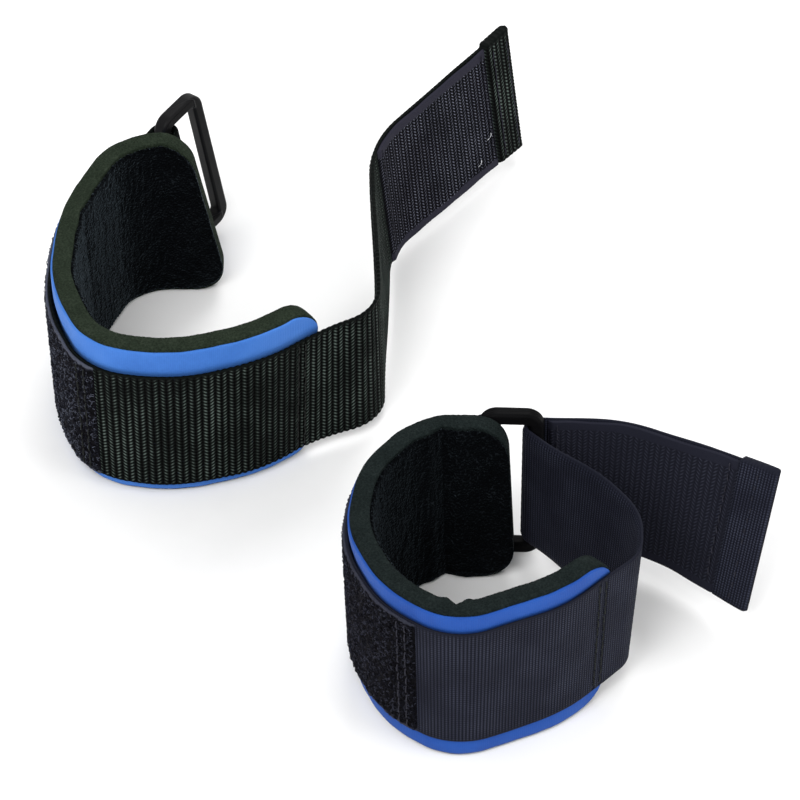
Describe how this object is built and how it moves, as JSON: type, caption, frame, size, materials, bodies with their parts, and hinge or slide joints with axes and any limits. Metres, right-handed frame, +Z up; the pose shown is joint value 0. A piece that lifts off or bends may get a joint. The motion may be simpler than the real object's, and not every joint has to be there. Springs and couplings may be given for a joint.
{
  "type": "wrist grip cuff pair",
  "caption": "Pair of padded wrist cuffs for gymnastics grips: foam pad, blue cover, webbing strap with hook and loop, rectangular plastic ring; one open, one threaded.",
  "frame": {"origin": "on the floor plane, under the centre of the pair's box", "axes": "+Z up, across the width of the pads; +X from the open grip towards the threaded grip; +Y away from the viewer"},
  "size_m": [0.2405, 0.3119, 0.0653],
  "materials": {
    "cover_open": "smooth blue nylon-faced neoprene",
    "cover_threaded": "smooth deeper blue nylon-faced neoprene",
    "foam": "fine black sponge foam, raw cut edge",
    "lining": "black brushed terry pile",
    "webbing_open": "coarse ribbed black polypropylene webbing",
    "webbing_threaded": "fine ribbed black nylon webbing",
    "loop_pile": "curly black loop pile",
    "hook_tape": "black woven hook tape",
    "ring_plastic": "satin black moulded plastic",
    "thread": "black polyester thread"
  },
  "bodies": {
    "open_grip": {"open_front_cover": "cover_open", "open_front_foam": "foam", "open_front_lining": "lining", "open_webbing": "webbing_open", "open_loop_tape": "loop_pile", "open_loop_seam": "thread", "open_front_seam": "thread"},
    "open_wing": {"open_wing_cover": "cover_open", "open_wing_foam": "foam", "open_wing_lining": "lining", "open_wing_webbing": "webbing_open", "open_wing_loop_tape": "loop_pile", "open_keeper": "webbing_open"},
    "open_ring": {"open_ring": "ring_plastic"},
    "open_tail": {"open_tail_webbing": "webbing_open"},
    "open_tail_end": {"open_tail_end_webbing": "webbing_open", "open_hook_tape": "hook_tape", "open_hook_tape_stitches": "thread", "open_hem_stitches": "thread"},
    "threaded_grip": {"threaded_cover": "cover_threaded", "threaded_foam": "foam", "threaded_lining": "lining", "threaded_webbing": "webbing_threaded", "threaded_loop_tape": "loop_pile", "threaded_keeper": "webbing_threaded", "threaded_loop_seam": "thread", "threaded_front_seam": "thread"},
    "threaded_ring": {"threaded_ring": "ring_plastic"},
    "threaded_tail": {"threaded_tail_webbing": "webbing_threaded", "threaded_hook_tape": "hook_tape", "threaded_hook_tape_stitches": "thread", "threaded_hem_stitches": "thread"}
  },
  "joints": [
    {"name": "second_grip_slide", "type": "slide", "parent": "open_grip", "child": "threaded_grip", "axis": [1, 0, 0], "range_m": [0, 0.12]},
    {"name": "open_wing_flex", "type": "hinge", "parent": "open_grip", "child": "open_wing", "pos_m": [-0.11266, 0.0181, 0.0325], "axis": [0, 0, 1], "range_deg": [-15, 18]},
    {"name": "open_ring_swing", "type": "hinge", "parent": "open_wing", "child": "open_ring", "pos_m": [-0.07894, 0.09566, 0.0325], "axis": [-0.1484, -0.0901, 0.9848], "range_deg": [-45, 80]},
    {"name": "open_tail_flex", "type": "hinge", "parent": "open_grip", "child": "open_tail", "pos_m": [-0.0226, -0.00441, 0.0325], "axis": [0, 0, 1], "range_deg": [-45, 10]},
    {"name": "open_tail_bend", "type": "hinge", "parent": "open_tail", "child": "open_tail_end", "pos_m": [-0.00712, 0.07916, 0.0325], "axis": [0, 0, 1], "range_deg": [-35, 35]},
    {"name": "threaded_ring_swing", "type": "hinge", "parent": "threaded_grip", "child": "threaded_ring", "pos_m": [0.02839, -0.05786, 0.0325], "axis": [0, 0, 1], "range_deg": [-4, 4]},
    {"name": "threaded_tail_swing", "type": "hinge", "parent": "threaded_ring", "child": "threaded_tail", "pos_m": [0.04537, -0.05856, 0.0325], "axis": [0, 0, 1], "range_deg": [-15, 100]}
  ]
}
